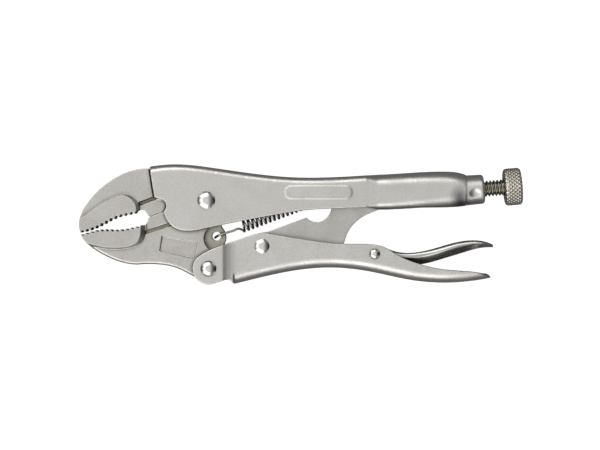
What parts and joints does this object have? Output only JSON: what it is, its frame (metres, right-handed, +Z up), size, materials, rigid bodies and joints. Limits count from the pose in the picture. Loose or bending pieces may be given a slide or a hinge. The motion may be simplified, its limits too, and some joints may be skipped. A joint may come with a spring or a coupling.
{
  "type": "locking pliers",
  "caption": "Locking pliers with curved toothed jaws, wire cutter, toggle link, adjusting screw and release lever.",
  "frame": {"origin": "bottom centre of the whole tool's box, on the surface the tool lies on", "axes": "+X from the jaws to the adjusting knob, +Y from the lower handle to the upper handle, +Z up through the tool's thickness as it lies on its side"},
  "size_m": [0.1776, 0.0482, 0.015],
  "materials": {
    "nickel_handle": "satin nickel plate over blasted steel",
    "nickel_jaw": "satin nickel plate over forged steel",
    "nickel_link": "satin nickel plate over blanked steel",
    "bright_lever": "bright nickel plate over formed steel",
    "nickel_screw": "nickel plate, slightly yellow in the thread",
    "nickel_knob": "nickel plate over knurled steel",
    "spring_steel": "dark oiled spring wire",
    "polished_rivet": "polished nickel"
  },
  "bodies": {
    "upper_frame": {"upper_handle": "nickel_handle", "upper_jaw": "nickel_jaw", "threaded_insert": "nickel_screw", "main_pivot_rivet": "polished_rivet", "opening_spring": "spring_steel"},
    "moving_jaw": {"lower_jaw": "nickel_jaw"},
    "lower_grip": {"lower_handle": "nickel_handle", "jaw_lever_rivet": "polished_rivet", "link_rivet": "polished_rivet", "release_lever_rivet": "polished_rivet"},
    "link": {"toggle_link": "nickel_link"},
    "trigger": {"release_lever": "bright_lever"},
    "screw": {"adjusting_screw": "nickel_screw"},
    "knob": {"screw_knob": "nickel_knob"}
  },
  "joints": [
    {"name": "jaw_hinge", "type": "hinge", "parent": "upper_frame", "child": "moving_jaw", "pos_m": [-0.03789, 0.00957, 0.0075], "axis": [0, 0, 1], "range_deg": [0, 28], "deforming": ["opening_spring"]},
    {"name": "handle_hinge", "type": "hinge", "parent": "moving_jaw", "child": "lower_grip", "pos_m": [-0.03705, -0.01767, 0.0075], "axis": [0, 0, 1], "range_deg": [-87.41, 0]},
    {"name": "link_hinge", "type": "hinge", "parent": "lower_grip", "child": "link", "pos_m": [-0.01569, -0.00872, 0.0075], "axis": [0, 0, 1], "range_deg": [0, 83.41]},
    {"name": "release_hinge", "type": "hinge", "parent": "lower_grip", "child": "trigger", "pos_m": [0.02931, -0.01175, 0.0075], "axis": [0, 0, 1], "range_deg": [-8, 0]},
    {"name": "screw_slide", "type": "slide", "parent": "upper_frame", "child": "screw", "axis": [0.9968, 0.0802, 0], "range_m": [0, 0.0099]},
    {"name": "knob_turn", "type": "hinge", "parent": "screw", "child": "knob", "pos_m": [0.08377, 0.01505, 0.0075], "axis": [0.9968, 0.0802, 0], "range_deg": [0, 2520]}
  ],
  "couplings": [
    {"joint": "handle_hinge", "follows": "jaw_hinge", "ratio": -3.104},
    {"joint": "link_hinge", "follows": "jaw_hinge", "ratio": 2.961},
    {"joint": "screw_slide", "follows": "knob_turn", "m_per_rad": 0.00022457}
  ]
}
